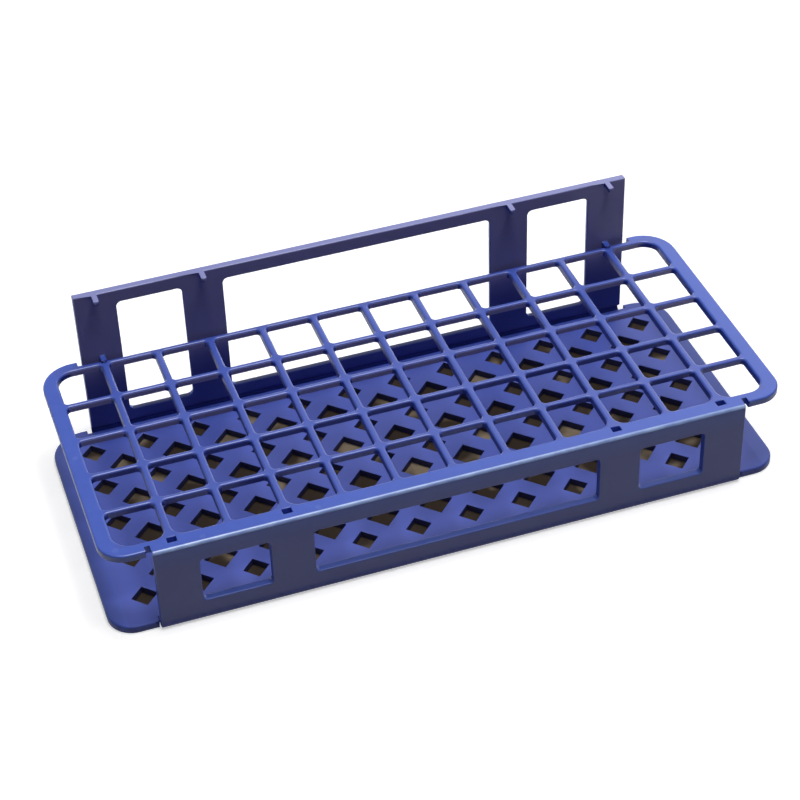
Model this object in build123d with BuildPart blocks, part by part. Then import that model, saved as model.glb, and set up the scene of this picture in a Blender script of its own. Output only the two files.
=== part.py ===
"""Microcentrifuge tube rack, folded from one polypropylene moulding.

The moulding starts flat and folds up at three living hinges: a base plate, a
short front panel, the tube shelf above the base, and a tall rear panel.
Millimetres, +Z up, +X along the rack, -Y towards the user.  The origin is at
the bottom centre of the folded rack.
"""
import os

from build123d import *

# ---- tube cells ------------------------------------------------------------
pitch = 13.5            # from cell to cell, both ways
column_count = 12
row_count = 5
long_rib = 1.75         # width of the ribs that run front to back
cross_rib = 1.4         # width of the ribs that run along the rack
cross_rib_depth = 1.7
cell_radius = 1.1
corner_cell_radius = 4.3
flare_radius = 3.0      # front ends of the ribs in line with the catch holes

# ---- shelf and base, which share one outline -------------------------------
wall = 2.0              # thickness of the shelf, the base and both panels
side_rim = 3.85         # from the end cells to the ends of the rack
front_rim = 3.35        # from the front and rear cells to the long edges
front_corner_radius = 6.3
rear_corner_radius = 8.5
edge_radius = 0.5
shelf_height = 24.2     # bench to the top of the shelf

# ---- panels ----------------------------------------------------------------
panel_overhang = 1.25   # how far the panels stand out past the long edges
rear_height = 43.6
post_ribs = (3, 5)      # the posts stand in line with these long ribs, from the middle
post_width = 10.4
sill = 6.1              # bench to the bottom of the windows
front_head = 5.5        # windows to the top of the front panel
rear_head = 3.7         # windows to the top of the rear panel
front_window_radius = 1.0
rear_window_radius = 1.4

# ---- living hinges ---------------------------------------------------------
bottom_bend = 1.6       # outside of the two folds at the base
top_bend = 0.8          # outside of the fold between front panel and shelf
web = 0.6               # thickness left at a fold
groove = 0.9            # gap that a fold leaves inside its corner
relief = 1.3            # notch between a hinge and the corners beside it
slit = 0.3              # the same at the front of the base, where it is only a cut

# ---- drain holes in the base -----------------------------------------------
cell_drain_side = 4.5       # one under each cell
crossing_drain_side = 5.9   # one under each crossing of the ribs

# ---- catches ---------------------------------------------------------------
catch_hole_length = 2.3
catch_hole_width = 1.7
catch_hole_inset = 0.55  # from the front cells to the catch holes
catch_clearance = 0.3
finger_drop = 1.5        # top of the shelf to the tip of a finger in its hole
arm_depth = 1.4
hook_width = 1.3
hook_reach = 3.0
hook_depth = 1.2
lug_reach = 2.2
lug_depth = 0.6
snap_gap = 0.15          # play between the shelf's rear rib and its lugs

hair = 0.01             # slack for finding an edge by its place

# ---- places that follow from the sizes -------------------------------------
cells_x = column_count * pitch / 2 - long_rib / 2    # outer edges of the cells
cells_y = row_count * pitch / 2 - cross_rib / 2
half_length = cells_x + side_rim
half_depth = cells_y + front_rim
face = half_depth + panel_overhang              # outer face of both panels
inner_face = face - wall
panel_end = post_ribs[-1] * pitch + post_width / 2
strip = inner_face - groove                     # where the flat plates stop
lap = strip - groove                            # where a hinge strip joins its plate
shelf_underside = shelf_height - wall
rear_rib_edge = cells_y + cross_rib
catch_hole_y = -(cells_y + catch_hole_inset + catch_hole_width / 2)
post_lines = [side * rib * pitch for rib in post_ribs for side in (-1, 1)]
outer_lines = post_lines[-2:]


def hinge_inside(y, z, out, up, bend):
    """Inner line of a folded hinge whose square outer corner is (y, z).

    out and up are +1 or -1 and point from the rack to that corner.  The line
    runs from the upright panel's inner face to the flat plate's inner face.
    """
    centre = (y - out * bend, z - up * bend)
    middle = (bend - web) * 0.5 ** 0.5
    Line((y - out * wall, z - up * (wall + groove)), (y - out * web, centre[1]))
    ThreePointArc(
        (y - out * web, centre[1]),
        (centre[0] + out * middle, centre[1] + up * middle),
        (centre[0], z - up * web),
    )
    Line((centre[0], z - up * web), (y - out * (wall + groove), z - up * wall))


def hinge_outside(y, z, out, up, bend):
    """Outer arc of the same hinge."""
    centre = (y - out * bend, z - up * bend)
    middle = bend * 0.5 ** 0.5
    ThreePointArc(
        (y, centre[1]),
        (centre[0] + out * middle, centre[1] + up * middle),
        (centre[0], z),
    )


def plate_outline(front_gap):
    """Plan of the shelf or the base, set back along both hinge lines."""
    RectangleRounded(2 * half_length, 2 * half_depth, rear_corner_radius)
    with Locations((0, -half_depth / 2)):
        RectangleRounded(2 * half_length, half_depth, front_corner_radius)
    for y, gap in ((half_depth, relief), (-half_depth, front_gap)):
        with Locations((0, y)):
            Rectangle(2 * (panel_end + gap), 2 * (half_depth - strip), mode=Mode.SUBTRACT)


def round_ends(plate, level):
    """Round the top edges of a plate's two free ends, clear of the hinges."""
    ends = [
        edge
        for edge in plate.edges().filter_by_position(Axis.Z, level - hair, level + hair)
        if abs(edge.center().X) > panel_end + relief + hair
    ]
    fillet(ends, edge_radius)


def catch_holes():
    """Plan of the four catch holes in the shelf's front margin."""
    with Locations([(x, catch_hole_y) for x in post_lines]):
        Rectangle(catch_hole_length, catch_hole_width)


def windows(top, radius):
    """Three windows between the posts of a panel, from the sill up to top."""
    height = top - sill
    inner, outer = [rib * pitch for rib in post_ribs]
    wide = 2 * inner - post_width
    narrow = outer - inner - post_width
    middle = (inner + outer) / 2
    with Locations((0, sill + height / 2)):
        RectangleRounded(wide, height, radius)
    with Locations((-middle, sill + height / 2), (middle, sill + height / 2)):
        RectangleRounded(narrow, height, radius)


# ---- base plate -------------------------------------------------------------
with BuildPart() as base:
    with BuildSketch(Plane.XY):
        plate_outline(slit)
    extrude(amount=wall)
    round_ends(base, wall)
    # Drain holes stand on their corners
    with BuildSketch(Plane.XY):
        for fewer, side in ((0, cell_drain_side), (1, crossing_drain_side)):
            with GridLocations(pitch, pitch, column_count - fewer, row_count - fewer):
                Rectangle(side, side, rotation=45)
    extrude(amount=wall, mode=Mode.SUBTRACT)

# ---- shelf ------------------------------------------------------------------
with BuildPart() as shelf:
    # The plate, with its rear edge cut back to a single rib
    with BuildSketch(Plane.XY.offset(shelf_underside)):
        plate_outline(relief)
        with Locations((0, half_depth)):
            Rectangle(2 * (panel_end + relief), 2 * (half_depth - rear_rib_edge),
                      mode=Mode.SUBTRACT)
    extrude(amount=wall)
    round_ends(shelf, shelf_height)
    # The cells: the four corner ones follow the corners of the shelf
    with BuildSketch(Plane.XY.offset(shelf_underside)):
        with GridLocations(pitch, pitch, column_count, row_count):
            RectangleRounded(pitch - long_rib, pitch - cross_rib, cell_radius)
        RectangleRounded(2 * cells_x, 2 * cells_y, corner_cell_radius, mode=Mode.INTERSECT)
        # Ribs in line with the catch holes flare where they meet the front margin
        with Locations([(x, flare_radius / 2 - cells_y) for x in post_lines]):
            Rectangle(long_rib + 2 * flare_radius, flare_radius, mode=Mode.SUBTRACT)
        with Locations([(x + side * (long_rib / 2 + flare_radius), flare_radius - cells_y)
                        for x in post_lines for side in (-1, 1)]):
            Circle(flare_radius)
        catch_holes()
    extrude(amount=wall, mode=Mode.SUBTRACT)
    # The cross ribs are shallower than the long ribs
    with BuildSketch(Plane.XY.offset(shelf_underside)):
        with Locations((0, cross_rib / 2)):
            with GridLocations(pitch, 0, column_count, 1):
                Rectangle(pitch - long_rib, 2 * cells_y + cross_rib)
    extrude(amount=wall - cross_rib_depth, mode=Mode.SUBTRACT)

# ---- the folded moulding ----------------------------------------------------
with BuildPart() as rack:
    # Front strip: edge of the base, front panel and edge of the shelf in one section
    with BuildSketch(Plane.YZ):
        with BuildLine():
            Polyline((-strip, wall), (-lap, wall), (-lap, 0), (-(face - bottom_bend), 0))
            hinge_outside(-face, 0, -1, -1, bottom_bend)
            Line((-face, bottom_bend), (-face, shelf_height - top_bend))
            hinge_outside(-face, shelf_height, -1, 1, top_bend)
            Polyline((-(face - top_bend), shelf_height), (-lap, shelf_height),
                     (-lap, shelf_underside), (-strip, shelf_underside))
            hinge_inside(-face, shelf_height, -1, 1, top_bend)
            Line((-inner_face, shelf_underside - groove), (-inner_face, wall + groove))
            hinge_inside(-face, 0, -1, -1, bottom_bend)
        make_face()
    extrude(amount=panel_end, both=True)

    # Rear strip: edge of the base and rear panel
    with BuildSketch(Plane.YZ):
        with BuildLine():
            Polyline((strip, wall), (lap, wall), (lap, 0), (face - bottom_bend, 0))
            hinge_outside(face, 0, 1, -1, bottom_bend)
            Polyline((face, bottom_bend), (face, rear_height), (inner_face, rear_height),
                     (inner_face, wall + groove))
            hinge_inside(face, 0, 1, -1, bottom_bend)
        make_face()
    extrude(amount=panel_end, both=True)

    # Windows of the front and the rear panel
    with BuildSketch(Plane.XZ.offset(inner_face)):
        windows(shelf_height - front_head, front_window_radius)
    extrude(amount=wall, mode=Mode.SUBTRACT)
    with BuildSketch(Plane.XZ.offset(-face)):
        windows(rear_height - rear_head, rear_window_radius)
    extrude(amount=wall, mode=Mode.SUBTRACT)

    # Catch holes, where they run on into the front strip
    with BuildSketch(Plane.XY.offset(shelf_underside)):
        catch_holes()
    extrude(amount=wall, mode=Mode.SUBTRACT)

    # Fingers on the front panel that reach under the shelf and up into those holes
    arm_top = shelf_underside - catch_clearance
    arm_reach = inner_face + catch_hole_y + catch_hole_width / 2 - catch_clearance
    finger_length = catch_hole_length - 2 * catch_clearance
    finger_width = catch_hole_width - 2 * catch_clearance
    with BuildSketch(Plane.XY.offset(arm_top - arm_depth)):
        with Locations([(x, -inner_face + arm_reach / 2) for x in post_lines]):
            Rectangle(finger_length, arm_reach)
    extrude(amount=arm_depth)
    with BuildSketch(Plane.XY.offset(arm_top)):
        with Locations([(x, catch_hole_y) for x in post_lines]):
            Rectangle(finger_length, finger_width)
    extrude(amount=shelf_height - finger_drop - arm_top)

    # Hooks along the top of the rear panel
    with BuildSketch(Plane.XY.offset(rear_height - hook_depth)):
        with Locations([(x, inner_face - hook_reach / 2) for x in post_lines]):
            Rectangle(hook_width, hook_reach)
    extrude(amount=hook_depth)

    # Lugs on the rear panel, over and under the shelf's rear rib
    for level in (shelf_height + snap_gap, shelf_underside - snap_gap - lug_depth):
        with BuildSketch(Plane.XY.offset(level)):
            with Locations([(x, inner_face - lug_reach / 2) for x in outer_lines]):
                Rectangle(hook_width, lug_reach)
        extrude(amount=lug_depth)

    add(base.part)
    add(shelf.part)

rack.part.label = "rack"
os.makedirs("parts", exist_ok=True)
export_step(rack.part, "parts/rack.step")
print("rack:", len(rack.part.solids()), "solid, valid", rack.part.is_valid)
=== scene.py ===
# %% [markdown]
# # Microcentrifuge tube rack
# The rack is one polypropylene moulding.  It leaves its mould flat and folds up at three
# living hinges: base, front panel, tube shelf, and a tall rear panel.  The CAD solid gives
# every size and place, and this script gives the moulding its rounded edges, its plastic,
# a camera and a small studio.

# %% Load the solid
import math

import bmesh
import bpy
from mathutils import Matrix, Vector


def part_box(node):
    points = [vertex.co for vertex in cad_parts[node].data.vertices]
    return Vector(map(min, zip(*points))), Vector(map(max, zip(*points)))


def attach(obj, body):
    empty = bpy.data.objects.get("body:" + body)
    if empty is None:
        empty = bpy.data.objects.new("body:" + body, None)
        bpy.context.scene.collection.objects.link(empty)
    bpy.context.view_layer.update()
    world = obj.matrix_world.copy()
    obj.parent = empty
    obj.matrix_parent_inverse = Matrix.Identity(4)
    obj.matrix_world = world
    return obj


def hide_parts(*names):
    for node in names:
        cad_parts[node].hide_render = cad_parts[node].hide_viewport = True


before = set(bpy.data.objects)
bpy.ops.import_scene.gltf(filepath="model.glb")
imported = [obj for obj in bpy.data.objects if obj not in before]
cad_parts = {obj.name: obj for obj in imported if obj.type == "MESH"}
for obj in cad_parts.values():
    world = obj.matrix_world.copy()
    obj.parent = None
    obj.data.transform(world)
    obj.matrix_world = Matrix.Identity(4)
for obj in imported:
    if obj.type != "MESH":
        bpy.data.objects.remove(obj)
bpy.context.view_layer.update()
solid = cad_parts["rack"]
scene = bpy.context.scene
mm = 0.001
print("solid:", [round(side / mm, 2) for side in solid.dimensions])

# %% [markdown]
# ## The sizes that the edges are found by
# An edge is picked by where it lies, so the script needs the levels of the shelf, the
# panels and the cells.  The outer ones are measured on the solid.  The others follow from
# the sizes the rack was drawn with.  The rack is drawn about its middle, so one distance
# from the middle serves for left and right, and often for front and rear.

# %% Levels and places
low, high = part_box("rack")
rack_top = high.z                   # top of the rear panel
panel_face = high.y                 # outer face of both panels
columns = 12                        # cells along the rack
rows = 5
pitch = 13.5 * mm                   # from one cell to the next
long_rib = 1.75 * mm                # width of the ribs that run front to back
cross_rib = 1.4 * mm                # width of the ribs that run along the rack
wall = 2.0 * mm
shelf_top = 24.2 * mm
sill = 6.1 * mm                     # bottom of the windows
post_width = 10.4 * mm

cells_x = (columns * pitch - long_rib) / 2  # outer edges of the block of cells
cells_y = (rows * pitch - cross_rib) / 2
inner_posts = 3 * pitch                     # the posts stand in line with these ribs
outer_posts = 5 * pitch
panel_end = outer_posts + post_width / 2    # ends of both panels
panel_inside = panel_face - wall
print("the rack is", round((rack_top - low.z) / mm, 1), "mm tall, and its rear panel stands",
      round((rack_top - shelf_top) / mm, 1), "mm above the shelf")

# %% [markdown]
# ## A mesh that can be rounded
# No moulded edge is sharp: the steel it was cut in had a small radius, and that radius is
# what catches the light along every rib.  The rack could be modelled again with those
# radii, but its shape is already right in the solid, so the quickest honest way is to work
# on a copy.  The copy is loose triangles, which are merged and joined up into flat faces.
# A face can't have a hole in it, so the copy is first cut along every rib and through the
# middle of every cell, and the cuts are kept as seams.  Without them the flats would be
# crossed by long slanting edges, and a bevel folds over where it meets one.

# %% Copy the solid and merge its triangles
rack = bpy.data.objects.new("rack_moulding", solid.data.copy())
scene.collection.objects.link(rack)
same_point = 0.002 * mm             # corners closer than this are one


def take(piece):
    """Select one object and make it the active one."""
    bpy.ops.object.select_all(action="DESELECT")
    piece.select_set(True)
    bpy.context.view_layer.objects.active = piece


take(rack)
bpy.ops.object.mode_set(mode="EDIT")
bpy.ops.mesh.select_mode(type="EDGE")
bpy.ops.mesh.select_all(action="SELECT")
bpy.ops.mesh.remove_doubles(threshold=same_point)
bpy.ops.object.mode_set(mode="OBJECT")
print("merged:", len(rack.data.vertices), "vertices,", len(rack.data.polygons), "triangles")

# %% Cut along the ribs and through the cells, and join up the flats
cuts_x = columns - 1                # cuts on each side of the middle, half a pitch apart
cuts_y = rows - 1

bpy.ops.object.mode_set(mode="EDIT")
for across, cuts in ((Vector((1, 0, 0)), cuts_x), (Vector((0, 1, 0)), cuts_y)):
    for step in range(-cuts, cuts + 1):
        bpy.ops.mesh.select_all(action="SELECT")
        bpy.ops.mesh.bisect(plane_co=across * step * pitch / 2, plane_no=across,
                            threshold=same_point)
        bpy.ops.mesh.mark_seam()
bpy.ops.mesh.select_all(action="SELECT")
bpy.ops.mesh.dissolve_limited(angle_limit=math.radians(0.5), delimit={"SEAM"})
bpy.ops.object.mode_set(mode="OBJECT")
print("joined up:", len(rack.data.vertices), "vertices,", len(rack.data.polygons), "faces")

# %% [markdown]
# ## Rounding by place
# One bevel over the whole mesh would give one radius everywhere, and would spoil the thin
# webs of the hinges.  So the edges are picked in groups, each by a small test of where the
# edge lies.  The ribs that fingers and tubes rub against get a wide radius, and the rest a
# narrow one.  Only sharp edges count, so the cuts across the flats are never rounded.

# %% Tests of where an edge lies
touch = 0.012 * mm                  # this near to a place counts as at it
slack = 0.1 * mm                    # so that a range takes in the edges at its ends


def lies_at(edge, axis, place):
    """True if both ends of an edge have this coordinate."""
    return all(abs(vertex.co[axis] - place) < touch for vertex in edge.verts)


def within(edge, x=None, y=None, z=None):
    """True if both ends lie inside these ranges; x and y are distances from the middle."""
    for vertex in edge.verts:
        for place, limits in ((abs(vertex.co.x), x), (abs(vertex.co.y), y), (vertex.co.z, z)):
            if limits and not limits[0] <= place <= limits[1]:
                return False
    return True


print("an edge is at a place when it is within", round(touch / mm, 3), "mm of it")

# %% A bevel of the sharp edges that a test picks
sharp = math.radians(30)


def round_edges(name, radius, steps, wanted):
    """Bevel the sharp edges of the rack that wanted(edge) picks."""
    take(rack)
    bpy.ops.object.mode_set(mode="EDIT")
    bpy.ops.mesh.select_all(action="DESELECT")
    mesh = bmesh.from_edit_mesh(rack.data)
    count = 0
    for edge in mesh.edges:
        if len(edge.link_faces) == 2 and edge.calc_face_angle() > sharp and wanted(edge):
            edge.select_set(True)
            count += 1
    bmesh.update_edit_mesh(rack.data)
    bpy.ops.mesh.bevel(offset=radius, segments=steps, affect="EDGES",
                       clamp_overlap=False, loop_slide=False)
    bpy.ops.object.mode_set(mode="OBJECT")
    print(f"{name}: {count} edges rounded to {radius / mm:.2f} mm")


print("edges that turn by more than", round(math.degrees(sharp)), "degrees can be rounded")

# %% [markdown]
# ## The shelf
# The crowns of the ribs are nearly half round, so that a tube slides in without catching.
# Ribs built from round bars would need trimming at each of the crossings, and a bevel turns
# the corners there by itself.  The front margin keeps its flat top, and only its catch holes
# are eased.

# %% Round the tops of the ribs
def at_ribs(edge):
    """True on top of the shelf, round the cells and along the rear rib."""
    in_margin = all(vertex.co.y < -cells_y - slack for vertex in edge.verts)
    return (lies_at(edge, 2, shelf_top) and not in_margin
            and within(edge, x=(0, cells_x + slack), y=(0, cells_y + cross_rib + slack)))


round_edges("shelf ribs", radius=0.55 * mm, steps=4, wanted=at_ribs)

# %% Round the catch holes in the front margin
catches_x = (inner_posts - 1.5 * mm, outer_posts + 1.5 * mm)    # in line with the posts
catches_y = (cells_y + 0.4 * mm, cells_y + 2.5 * mm)


def at_catch_holes(edge):
    """True on top of the front margin, round its catch holes."""
    in_front = all(vertex.co.y < 0 for vertex in edge.verts)
    return lies_at(edge, 2, shelf_top) and in_front and within(edge, x=catches_x, y=catches_y)


round_edges("catch holes", radius=0.2 * mm, steps=2, wanted=at_catch_holes)

# %% [markdown]
# ## The panels
# The windows of the rear panel are rounded widely at the back, so that their sills fall
# away from the light, and everything else on the panels has a fine radius.  Bevelled all at
# once, the panels would have one radius.  The ends come first, because a bevel that starts
# from a rounded top corner can poke out above it.

# %% Round the ends of the panels
def at_panel_ends(edge):
    """True on the edges of the four ends of the panels."""
    at_end = lies_at(edge, 0, panel_end) or lies_at(edge, 0, -panel_end)
    return at_end and within(edge, y=(panel_inside - 2 * slack, panel_face), z=(0, rack_top))


round_edges("panel ends", radius=0.25 * mm, steps=3, wanted=at_panel_ends)

# %% Round the backs of the rear windows
rear_head = 3.7 * mm                # from the windows to the top of the panel
windows_x = (0, outer_posts - post_width / 2 + slack)
windows_z = (sill - slack, rack_top - rear_head + slack)


def at_window_backs(edge):
    """True on the outer face of the rear panel, round its windows."""
    return lies_at(edge, 1, panel_face) and within(edge, x=windows_x, z=windows_z)


round_edges("backs of the rear windows", radius=1.35 * mm, steps=5, wanted=at_window_backs)

# %% Round the rest of the rear panel, and its hooks
panel_radius = 0.3 * mm
groove = 0.9 * mm                   # gap that a fold leaves inside its corner
fold_end = wall + groove + slack / 2        # the panels are straight above this
hook_reach = 3.0 * mm
hook_depth = 1.2 * mm
hooks_y = (panel_inside - hook_reach - slack, panel_inside - panel_radius - slack / 2)
hooks_z = (rack_top - hook_depth - slack, rack_top)


def on_panel(edge, side):
    """True on both faces of the front (-1) or the rear (1) panel."""
    on_face = lies_at(edge, 1, side * panel_face) or lies_at(edge, 1, side * panel_inside)
    return on_face and within(edge, z=(fold_end, rack_top))


def on_hooks(edge):
    """True on the hooks, clear of the panel they stand out from."""
    return within(edge, y=hooks_y, z=hooks_z)


round_edges("rear panel", radius=panel_radius, steps=3, wanted=lambda edge: on_panel(edge, 1))
round_edges("hooks", radius=0.2 * mm, steps=2, wanted=on_hooks)

# %% Round the front panel
fold_start = 20 * mm                # the windows end below this, and the upper fold is above it


def on_front_panel(edge):
    """True on both faces of the front panel, between its two folds."""
    return on_panel(edge, -1) and within(edge, z=(fold_end, fold_start))


round_edges("front panel", radius=panel_radius, steps=3, wanted=on_front_panel)

# %% [markdown]
# ## The base and the free ends
# The drain holes are eased on both sides of the base, as the edges of any moulding are.  The
# base and the shelf stick out past the panels at both ends, and their lower edges are
# rounded there.  Between the ends lie the folds of the hinges, which are already round in
# the solid, and the catches, and they are left alone.

# %% Round the drain holes
holes_x = 79 * mm                   # all drain holes lie inside these distances
holes_y = 32.5 * mm


def at_drain_holes(edge):
    """True on both faces of the base, round its drain holes."""
    on_face = lies_at(edge, 2, wall) or lies_at(edge, 2, 0)
    return on_face and within(edge, x=(0, holes_x), y=(0, holes_y))


round_edges("drain holes", radius=0.2 * mm, steps=2, wanted=at_drain_holes)

# %% Round the undersides of the free ends
relief = 1.3 * mm                   # notches between the hinges and the ends
past_panels = panel_end + relief + slack / 2
past_cells_x = cells_x + 0.6 * mm
past_cells_y = cells_y + 0.5 * mm


def at_free_ends(edge, level):
    """True at this level, on the outline past the panels."""
    past = any(abs(vertex.co.x) > past_panels for vertex in edge.verts)
    outline = all(abs(vertex.co.x) > past_cells_x or abs(vertex.co.y) > past_cells_y
                  for vertex in edge.verts)
    return lies_at(edge, 2, level) and past and outline


for name, level in (("underside of the base", 0), ("underside of the shelf", shelf_top - wall)):
    round_edges(name, radius=0.3 * mm, steps=2, wanted=lambda edge: at_free_ends(edge, level))

# %% [markdown]
# ## Smooth shading that keeps the flats flat
# The bevels are only a few faces wide.  More faces would make them smoother, and the mesh
# heavier, so they are shaded smooth instead.  A weighted normal lets each large flat keep
# its own direction, and the bevel beside it takes up the whole turn.

# %% Shade the moulding and put it in the solid's place
take(rack)
bpy.ops.object.shade_smooth_by_angle(angle=math.radians(35))
flats = rack.modifiers.new("flats", "WEIGHTED_NORMAL")
flats.keep_sharp = True
bpy.ops.object.modifier_apply(modifier="flats")
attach(rack, "root")
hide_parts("rack")
print("moulding:", len(rack.data.polygons), "faces")

# %% [markdown]
# ## Writing a material as sums
# A node tree reads badly as a list of links.  A socket wrapped in a small class can be
# added, multiplied and so on like a number, and each of those makes its own Math node.
# A second class owns the tree, and has one method that makes any other node.

# %% Sockets that can be added and multiplied
class Value:
    """An output socket of a node tree, used like a number."""

    def __init__(self, finish, socket):
        self.finish = finish
        self.socket = socket

    def __add__(self, other):
        return self.finish.maths("ADD", self, other)

    def __radd__(self, other):
        return self.finish.maths("ADD", other, self)

    def __sub__(self, other):
        return self.finish.maths("SUBTRACT", self, other)

    def __rsub__(self, other):
        return self.finish.maths("SUBTRACT", other, self)

    def __mul__(self, other):
        return self.finish.maths("MULTIPLY", self, other)

    def __rmul__(self, other):
        return self.finish.maths("MULTIPLY", other, self)

    def __abs__(self):
        return self.finish.maths("ABSOLUTE", self)


print("values can be added, subtracted and multiplied")

# %% A tree, and one method that makes any node of it
class Finish:
    """The node tree of a material or of the world."""

    def __init__(self, owner):
        self.owner = owner
        owner.use_nodes = True
        self.tree = owner.node_tree
        self.tree.nodes.clear()

    def node(self, kind, settings=None, inputs=None, output=0):
        """Add a node: its settings first, then the values or links of its sockets."""
        node = self.tree.nodes.new(kind)
        for name, value in (settings or {}).items():
            setattr(node, name, value)
        for name, value in (inputs or {}).items():
            if isinstance(value, Value):
                self.tree.links.new(value.socket, node.inputs[name])
            else:
                node.inputs[name].default_value = value
        return Value(self, node.outputs[output]) if node.outputs else None

    def maths(self, operation, first, second=0.0):
        """Work on two numbers, or on one."""
        return self.node("ShaderNodeMath", {"operation": operation}, {0: first, 1: second})

    def part(self, vector, axis):
        """One coordinate of a place, X, Y or Z."""
        return self.node("ShaderNodeSeparateXYZ", None, {"Vector": vector}, output=axis)

    def noise(self, place, **inputs):
        """A cloudy pattern from 0 to 1."""
        return self.node("ShaderNodeTexNoise", None, {"Vector": place, **inputs})

    def ramp(self, value, start, end):
        """0 up to start, 1 from end on, and smooth between."""
        return self.node("ShaderNodeMapRange", {"interpolation_type": "SMOOTHSTEP"},
                         {"Value": value, "From Min": start, "From Max": end})

    def band(self, value, start, end, soft):
        """1 between start and end, 0 outside, over a soft edge."""
        return self.ramp(value, start - soft, start) * (1 - self.ramp(value, end, end + soft))

    def blend(self, factor, first, second):
        """Mix two colours."""
        return self.node("ShaderNodeMix", {"data_type": "RGBA"},
                         {0: factor, 6: first, 7: second}, output=2)


print("a finish can add nodes, ramps, bands and blends")

# %% [markdown]
# ## Blue polypropylene
# Polypropylene is a satin plastic, a little cloudy, with a skin that copies the steel of its
# mould.  One flat colour would make its large flats look painted.  It is the same blue all
# through, though, so the body colour varies little: a faint cloudiness and a fine mottle,
# both worked out from the place on the rack.

# %% Places on the rack, in millimetres
plastic = Finish(bpy.data.materials.new("blue_polypropylene"))
place = plastic.node("ShaderNodeTexCoord", output="Object")
x = plastic.part(place, "X") * (1 / mm)
y = plastic.part(place, "Y") * (1 / mm)
z = plastic.part(place, "Z") * (1 / mm)
plate = wall / mm                   # top of the base plate
ledge = sill / mm                   # bottom of the windows
shelf = shelf_top / mm
top = rack_top / mm
inner_face = panel_inside / mm
outer_face = panel_face / mm
print("base plate, shelf and top are at", round(plate, 1), round(shelf, 1), round(top, 1), "mm")

# %% The body colour, faintly cloudy and finely mottled
deep_blue = (0.041, 0.090, 0.450, 1)
bright_blue = (0.055, 0.118, 0.560, 1)

cloud = plastic.noise(place, Scale=45.0, Detail=4.0, Roughness=0.6)
mottle = plastic.noise(place, Scale=420.0, Detail=3.0)
mixed = cloud * 0.55 + mottle * 0.45
blue = plastic.blend(mixed, deep_blue, bright_blue)
print("body colour:", len(plastic.tree.nodes), "nodes so far")

# %% [markdown]
# ## Painted shade and grey reflections
# The moulding is one blue, but on a bench its faces don't all look the same.  The ribs and
# the base plate look darker than the rims, the upright faces that look forward look greyer,
# most of all high up on the rear panel, and the rear sills and the walls of the drain holes
# look dark.  That comes from the lighting: shade, and light thrown back by what stands in
# and round the rack.  This studio is empty, so it is painted into the colour of those faces
# instead: painted shade on the ribs, the base plate, the sills and the hole walls, and a
# painted grey reflection on the forward faces.  It is a shortcut: it holds for the view
# from the front, and from the back the panel looks greyer than the plastic is.  Each mask
# is worked out from the place and the direction of a face, so it follows the shape by itself.

# %% Painted shade on the ribs and the base plate
# Painted shade: the ribs and the base plate are darkened where the shelf and what stands on it
# shade them.
shaded_rib_blue = (0.042, 0.078, 0.410, 1)
shaded_plate_blue = (0.040, 0.072, 0.400, 1)
rims_x = 79.9                       # just inside the rims at both ends
cells_front = -33.3                 # just past the front cells
cells_rear = 34.4                   # just inside the outer side of the rear rib

between_rims = 1 - plastic.ramp(abs(x), rims_x - 0.3, rims_x + 0.3)
over_cells = plastic.band(y, cells_front, cells_rear, 0.4) * between_rims
ribs = plastic.ramp(z, 20, 21) * over_cells         # the ribs start well above this
blue = plastic.blend(ribs * 0.75, blue, shaded_rib_blue)
base_plate = (1 - plastic.ramp(z, plate + 0.1, plate + 0.4)) * (0.6 + 0.35 * between_rims)
blue = plastic.blend(base_plate, blue, shaded_plate_blue)
print("ribs and base plate:", len(plastic.tree.nodes), "nodes so far")

# %% Painted shade on the walls of the drain holes
# Painted shade: the walls inside the drain holes are darkened, as little light reaches them.
hole_shade = (0.030, 0.028, 0.080, 1)
holes_end = holes_y / mm

inside_plate = plastic.ramp(z, 0.05, 0.15) * (1 - plastic.ramp(z, plate - 0.2, plate - 0.1))
shaded_hole_walls = inside_plate * between_rims * (1 - plastic.ramp(abs(y), holes_end - 1, holes_end))
blue = plastic.blend(shaded_hole_walls * 0.85, blue, hole_shade)
print("drain holes:", len(plastic.tree.nodes), "nodes so far")

# %% Painted shade and grey reflection on the front faces of the panels and the ribs
# Painted light: the forward faces are darkened and greyed as if shaded and veiled by reflected
# light, greyest high up on the rear panel.
shaded_front_blue = (0.045, 0.062, 0.300, 1)
painted_reflection_grey = (0.230, 0.215, 0.430, 1)

direction = plastic.node("ShaderNodeTexCoord", output="Normal")
facing_back = plastic.part(direction, "Y")          # -1 to the front, 1 to the back
front_faces = 1 - plastic.ramp(facing_back, -0.97, -0.85)
back_faces = plastic.ramp(facing_back, 0.85, 0.97) * 0.3
panels = plastic.ramp(abs(y), inner_face - 0.45, inner_face - 0.15)
rear = plastic.ramp(y, 0, 1)
painted_grey_veil = plastic.maths("MAXIMUM", (front_faces + back_faces) * panels, front_faces * ribs)
below_fold = plastic.ramp(z, 17.5, 23.0) * (1 - rear) * panels      # above the front windows
grey = plastic.blend(rear * plastic.ramp(z, 8, 26), shaded_front_blue, painted_reflection_grey)
blue = plastic.blend(painted_grey_veil * (1 - below_fold * 0.55), blue, grey)
print("front faces:", len(plastic.tree.nodes), "nodes so far")

# %% Painted shade on the sills of the rear windows
# Painted shade: the upward faces of the rear sills are darkened, as the panel and the shelf above
# shade them.
sill_shade_blue = (0.030, 0.038, 0.130, 1)

facing_up = plastic.ramp(plastic.part(direction, "Z"), 0.3, 0.7)
sills = facing_up * plastic.band(z, ledge - 1.1, ledge + 0.1, 0.1) * panels * rear
blue = plastic.blend(sills, blue, sill_shade_blue)
print("sills:", len(plastic.tree.nodes), "nodes so far")
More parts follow.
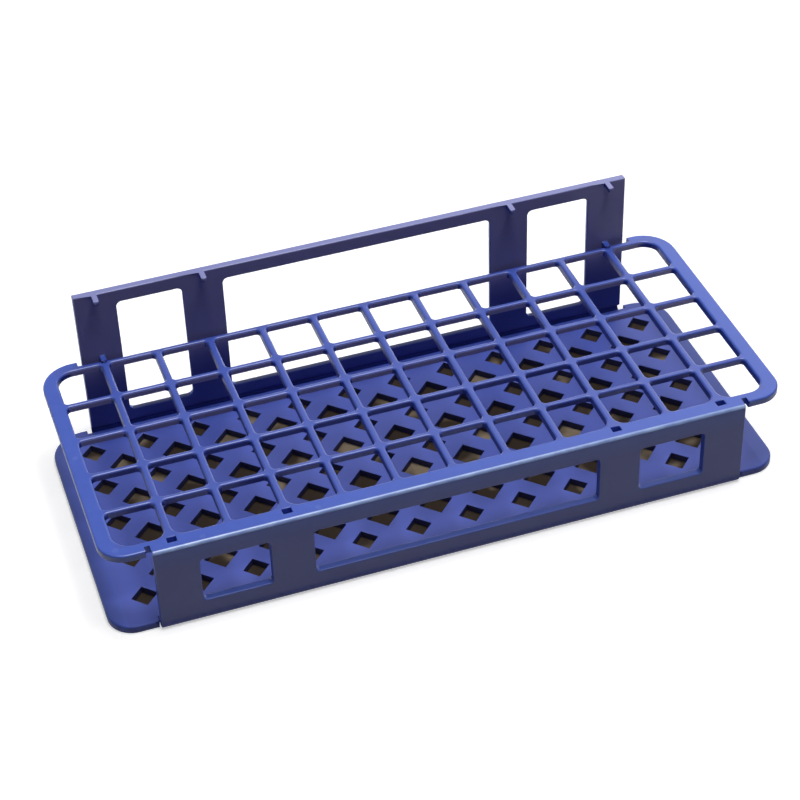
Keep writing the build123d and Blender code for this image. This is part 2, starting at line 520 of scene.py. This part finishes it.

# %% [markdown]
# ## Paler marks and painted highlights
# Polypropylene turns pale where it is bent, and a blotchy light line along the outside of
# the front hinge is partly that and partly a painted highlight of the rounded fold.  The
# crowns of the ribs get a faint painted highlight, and the top edge of the rear panel is
# made paler.  The faint round marks on the shelf are taken for those of the pins that push
# a moulding out of its mould.  All of these could be thin pieces laid on the rack, but they
# have no depth to speak of, so they are masks that bring in a paler blue.

# %% The whitened and highlighted line on the front hinge, painted highlights on the crowns, and the paler top edge
outside_fold = 1 - plastic.ramp(y, 0.5 - outer_face, 0.85 - outer_face)
blotches = plastic.ramp(plastic.noise(place, Scale=260.0, Detail=2.0), 0.3, 0.75)
# Partly whitening of the bent plastic, partly a painted highlight where the rounded fold catches
# the light.
fold = plastic.band(z, shelf - 0.6, shelf + 0.1, 0.25) * outside_fold * (0.50 + 0.40 * blotches)
# Painted highlight: a faint paler band on the crowns of the ribs.
crowns = plastic.band(z, shelf - 0.3, shelf + 0.1, 0.25) * over_cells * 0.04
top_edge = plastic.ramp(z, top - 0.3, top - 0.1) * 0.75
print("fold and paler edges:", len(plastic.tree.nodes), "nodes so far")

# %% Round marks on the shelf
pin_places = ((-80.3, -33.6, 0.8), (-60.7, -36.0, 0.7), (-33.5, -35.8, 0.7), (-82.0, 0.5, 0.7))


def pin_mark(across, along, radius):
    """A round patch, 1 inside and 0 outside."""
    off_x = x - across
    off_y = y - along
    off = plastic.maths("SQRT", off_x * off_x + off_y * off_y)
    return 1 - plastic.ramp(off, radius - 0.12, radius + 0.12)


on_shelf = plastic.ramp(z, shelf - 0.3, shelf - 0.1)
pins = sum(pin_mark(*pin) for pin in pin_places) * on_shelf * 0.10
print(len(pin_places), "pin marks")

# %% Lay the marks over the body colour
# The pin marks and the painted highlight on the crowns share one paler blue, and the hinge line
# is both whitening and painted highlight.
highlight_and_pin_blue = (0.25, 0.33, 0.70, 1)
edge_blue = (0.28, 0.285, 0.53, 1)
whitened_and_highlight_blue = (0.38, 0.52, 0.85, 1)

colour = plastic.blend(crowns + pins, blue, highlight_and_pin_blue)
colour = plastic.blend(top_edge, colour, edge_blue)
colour = plastic.blend(fold, colour, whitened_and_highlight_blue)
print("colour:", len(plastic.tree.nodes), "nodes so far")

# %% [markdown]
# ## Skin of the mould
# The grain of the steel is far finer than any edge, so it is a bump and not a shape.  The
# gloss varies with the clouds in the plastic, and is duller on the base plate and the sills.
# Polypropylene bends light by an index of 1.49, which sets how strongly it reflects.

# %% The shader
grain = plastic.noise(place, Scale=2400.0, Detail=2.0)
skin = plastic.node("ShaderNodeBump", None,
                    {"Strength": 0.12, "Distance": 0.08 * mm, "Height": grain}, output="Normal")
shader = plastic.node("ShaderNodeBsdfPrincipled", None, {
    "Base Color": colour,
    "Roughness": 0.30 + mixed * 0.14 + base_plate * 0.22 + sills * 0.45,
    "IOR": 1.49,
    "Normal": skin,
})
plastic.node("ShaderNodeOutputMaterial", None, {"Surface": shader})
rack.data.materials.clear()
rack.data.materials.append(plastic.owner)
print("plastic:", len(plastic.tree.nodes), "nodes")

# %% [markdown]
# ## Camera
# A long lens from above the front left corner of the bench.  A camera can be given a place
# and three turns, but they all have to change to move it a little.  So it is placed by its
# target, its direction, its distance and a slight roll, as it would be set on a tripod.

# %% Place the camera
azimuth = math.radians(17.05)
elevation = math.radians(38.28)
roll = math.radians(-2.40)
target = Vector((0.75, 22.43, 15.0)) * mm
distance = 548.1 * mm
outward = Vector((-math.sin(azimuth) * math.cos(elevation),
                  -math.cos(azimuth) * math.cos(elevation), math.sin(elevation)))
level_right = (-outward).cross(Vector((0, 0, 1))).normalized()
level_up = level_right.cross(-outward)
right = math.cos(roll) * level_right + math.sin(roll) * level_up
up = math.cos(roll) * level_up - math.sin(roll) * level_right
lens = bpy.data.cameras.new("camera")
lens.sensor_width = 36
lens.lens = 97.2
lens.shift_x = 0.0238
lens.shift_y = -0.0541
lens.clip_start = 0.01
lens.clip_end = 20
camera = bpy.data.objects.new("camera", lens)
camera.matrix_world = (Matrix.Translation(target + outward * distance)
                       @ Matrix((right, up, outward)).transposed().to_4x4())
scene.collection.objects.link(camera)
scene.camera = camera
print("camera at", [round(value / mm) for value in camera.matrix_world.translation], "mm")

# %% [markdown]
# ## Studio
# A sheet of white paper on a bench.  It shows white to the camera and pale in reflections,
# it still takes the shadow of the rack, and it throws little light back up, so the upright
# panels stay as dark as they do on a real bench.  Under the base lies a patch of bench top
# with painted shade, dark with paler spots of painted light, which shows only through the
# drain holes.

# %% The sheet, and the bench top under the rack with painted shade and light
bpy.ops.object.select_all(action="DESELECT")
bpy.ops.mesh.primitive_plane_add(size=6, location=(0, 0, 0))
floor = bpy.context.object
floor.name = "floor"
bare_x = 79 * mm                    # half the sides of the bare patch of bench
bare_y = 32 * mm
paper_white = (0.8, 0.8, 0.8, 1)
# Painted shade and light: the bench top is dark as in the shade of the base, with paler spots for
# light falling through the drain holes.
shaded_bench = (0.045, 0.033, 0.025, 1)
lit_bench = (0.24, 0.19, 0.13, 1)

paper = Finish(bpy.data.materials.new("paper"))
spot = paper.node("ShaderNodeTexCoord", output="Object")
out_x = paper.part(spot, "X")
out_y = paper.part(spot, "Y")
under = ((1 - paper.ramp(abs(out_x), bare_x - mm, bare_x + mm))
         * (1 - paper.ramp(abs(out_y), bare_y - mm, bare_y + mm)))
painted_light_patches = paper.ramp(paper.noise(spot, Scale=70.0, Detail=2.0), 0.52, 0.66)
sheet = paper.blend(under, paper_white, paper.blend(painted_light_patches, shaded_bench, lit_bench))
print("bare patch:", round(2 * bare_x / mm), "x", round(2 * bare_y / mm), "mm")

# %% How bright the sheet looks, and how little it lights
full_white = (1, 1, 1, 1)
far_white = (2.2, 2.2, 2.2, 1)      # makes up for the lamps, which reach less far out
black = (0, 0, 0, 1)

to_bounce = paper.node("ShaderNodeLightPath", output="Is Diffuse Ray")
to_gloss = paper.node("ShaderNodeLightPath", output="Is Glossy Ray")
far = paper.ramp(paper.maths("SQRT", out_x * out_x + out_y * out_y), 0.4, 2.0)
white = paper.blend(to_gloss, paper.blend(far, full_white, far_white), paper_white)
glow = paper.node("ShaderNodeEmission", None,
                  {"Color": paper.blend(under, white, black), "Strength": 0.5})
pale_paper = paper.node("ShaderNodeBsdfDiffuse", None, {"Color": sheet})
dim_paper = paper.node("ShaderNodeBsdfDiffuse", None, {"Color": (0.08, 0.08, 0.08, 1)})
lit_paper = paper.node("ShaderNodeAddShader", None, {0: pale_paper, 1: glow})
sheet_shader = paper.node("ShaderNodeMixShader", None, {0: to_bounce, 1: lit_paper, 2: dim_paper})
paper.node("ShaderNodeOutputMaterial", None, {"Surface": sheet_shader})
floor.data.materials.append(paper.owner)
print("paper:", len(paper.tree.nodes), "nodes")

# %% [markdown]
# ## Light
# A large lamp overhead gives the shape its light, with soft shadows, where a small one would
# give hard ones.  The other lamps are seen only in reflections, so they don't wash out the
# colour.  They draw the thin bright lines on rounded edges, as a ceiling light and a window
# behind the bench do.

# %% Lamps
def softbox(name, direction, away, width, height, power, glossy_only=False):
    """A rectangular lamp that faces the rack, with its distance and its sides in metres."""
    lamp = bpy.data.lights.new(name, "AREA")
    lamp.shape = "RECTANGLE"
    lamp.size = width
    lamp.size_y = height
    lamp.energy = power
    piece = bpy.data.objects.new(name, lamp)
    piece.location = Vector(direction).normalized() * away
    piece.rotation_euler = piece.location.to_track_quat("Z", "Y").to_euler()
    piece.visible_camera = False
    piece.visible_diffuse = not glossy_only
    scene.collection.objects.link(piece)
    print(f"{name}: {width} x {height} m, {power} W")


above = (0.08, -0.02, 1)
behind = (0.2, 1, 0.13)
right_behind = (0.75, 0.75, 0.70)
softbox("overhead", above, away=1.2, width=0.6, height=0.5, power=13.2)
softbox("ceiling_glint", above, away=1.1, width=0.35, height=0.3, power=5, glossy_only=True)
softbox("horizon", behind, away=1.8, width=3.6, height=0.5, power=22, glossy_only=True)
softbox("back_right", right_behind, away=1.6, width=1.2, height=1.0, power=7, glossy_only=True)

# %% [markdown]
# ## The room
# The world is white to the camera, so that the edge of the sheet can't be seen.  It gives
# almost no light of its own, and a little more in reflections, so that the satin plastic has
# something soft to reflect.

# %% The room
world = bpy.data.worlds.new("room")
scene.world = world
room = Finish(world)
to_camera = room.node("ShaderNodeLightPath", output="Is Camera Ray")
to_mirror = room.node("ShaderNodeLightPath", output="Is Glossy Ray")
walls = room.node("ShaderNodeBackground", None, {"Color": (0.05, 0.05, 0.05, 1)})
reflected = room.node("ShaderNodeBackground", None, {"Color": (0.35, 0.35, 0.35, 1)})
backdrop = room.node("ShaderNodeBackground", None, {"Color": full_white})
unseen = room.node("ShaderNodeMixShader", None, {0: to_mirror, 1: walls, 2: reflected})
surroundings = room.node("ShaderNodeMixShader", None, {0: to_camera, 1: unseen, 2: backdrop})
room.node("ShaderNodeOutputWorld", None, {"Surface": surroundings})
scene.view_settings.view_transform = "Standard"
print("room:", len(room.tree.nodes), "nodes")
